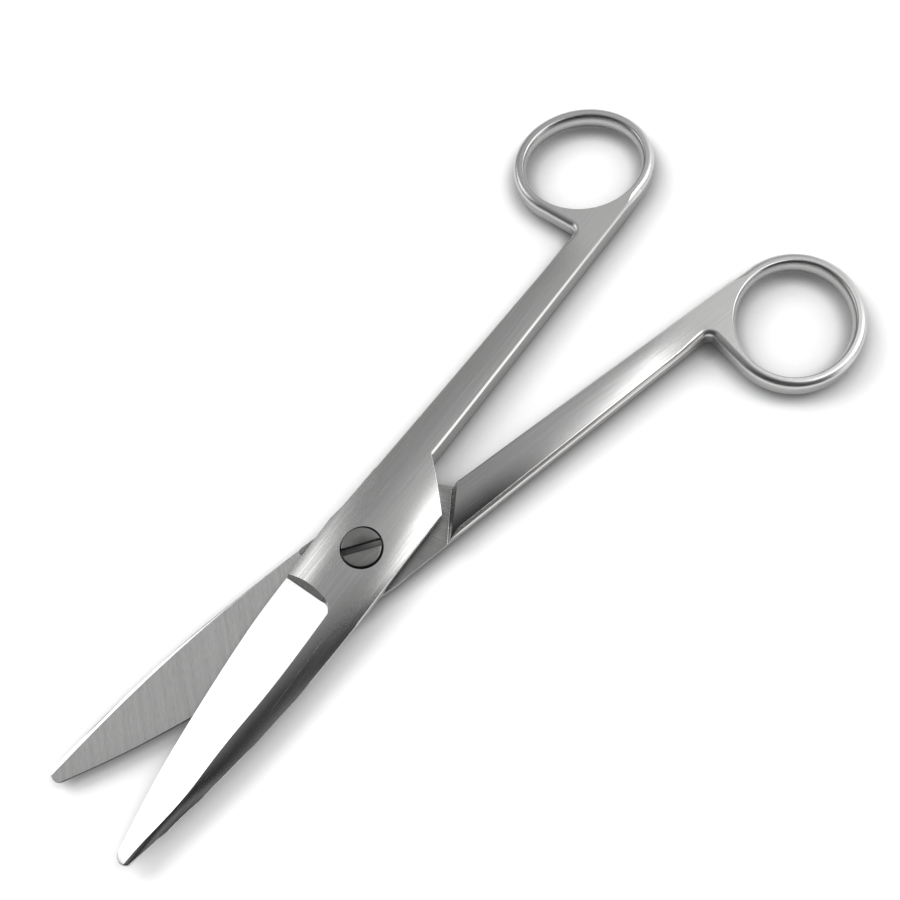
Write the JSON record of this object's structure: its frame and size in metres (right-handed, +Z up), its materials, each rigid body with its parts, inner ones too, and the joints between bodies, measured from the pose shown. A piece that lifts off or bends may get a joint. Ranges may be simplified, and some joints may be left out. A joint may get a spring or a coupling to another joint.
{
  "type": "dissecting scissors",
  "caption": "Straight dissecting scissors with blunt tips, oval finger rings and a slotted pivot screw.",
  "frame": {"origin": "middle of the lowest level of the whole as it lies on its back half, under the middle of its length", "axes": "+X from the tips to the finger rings along the line midway between the two halves, +Z up along the pivot screw"},
  "size_m": [0.1652, 0.0796, 0.006],
  "materials": {
    "front_half": "satin stainless steel, mirror bevel",
    "back_half": "satin stainless steel, cross-ground inner face",
    "pivot_screw": "matt stainless steel"
  },
  "bodies": {
    "back": {"back_half": "back_half", "pivot_screw": "pivot_screw"},
    "front": {"front_half": "front_half"}
  },
  "joints": [
    {"name": "pivot", "type": "hinge", "parent": "back", "child": "front", "pos_m": [-0.01688, 0, 0.00299], "axis": [0, 0, 1], "range_deg": [-16.6, 100]}
  ]
}
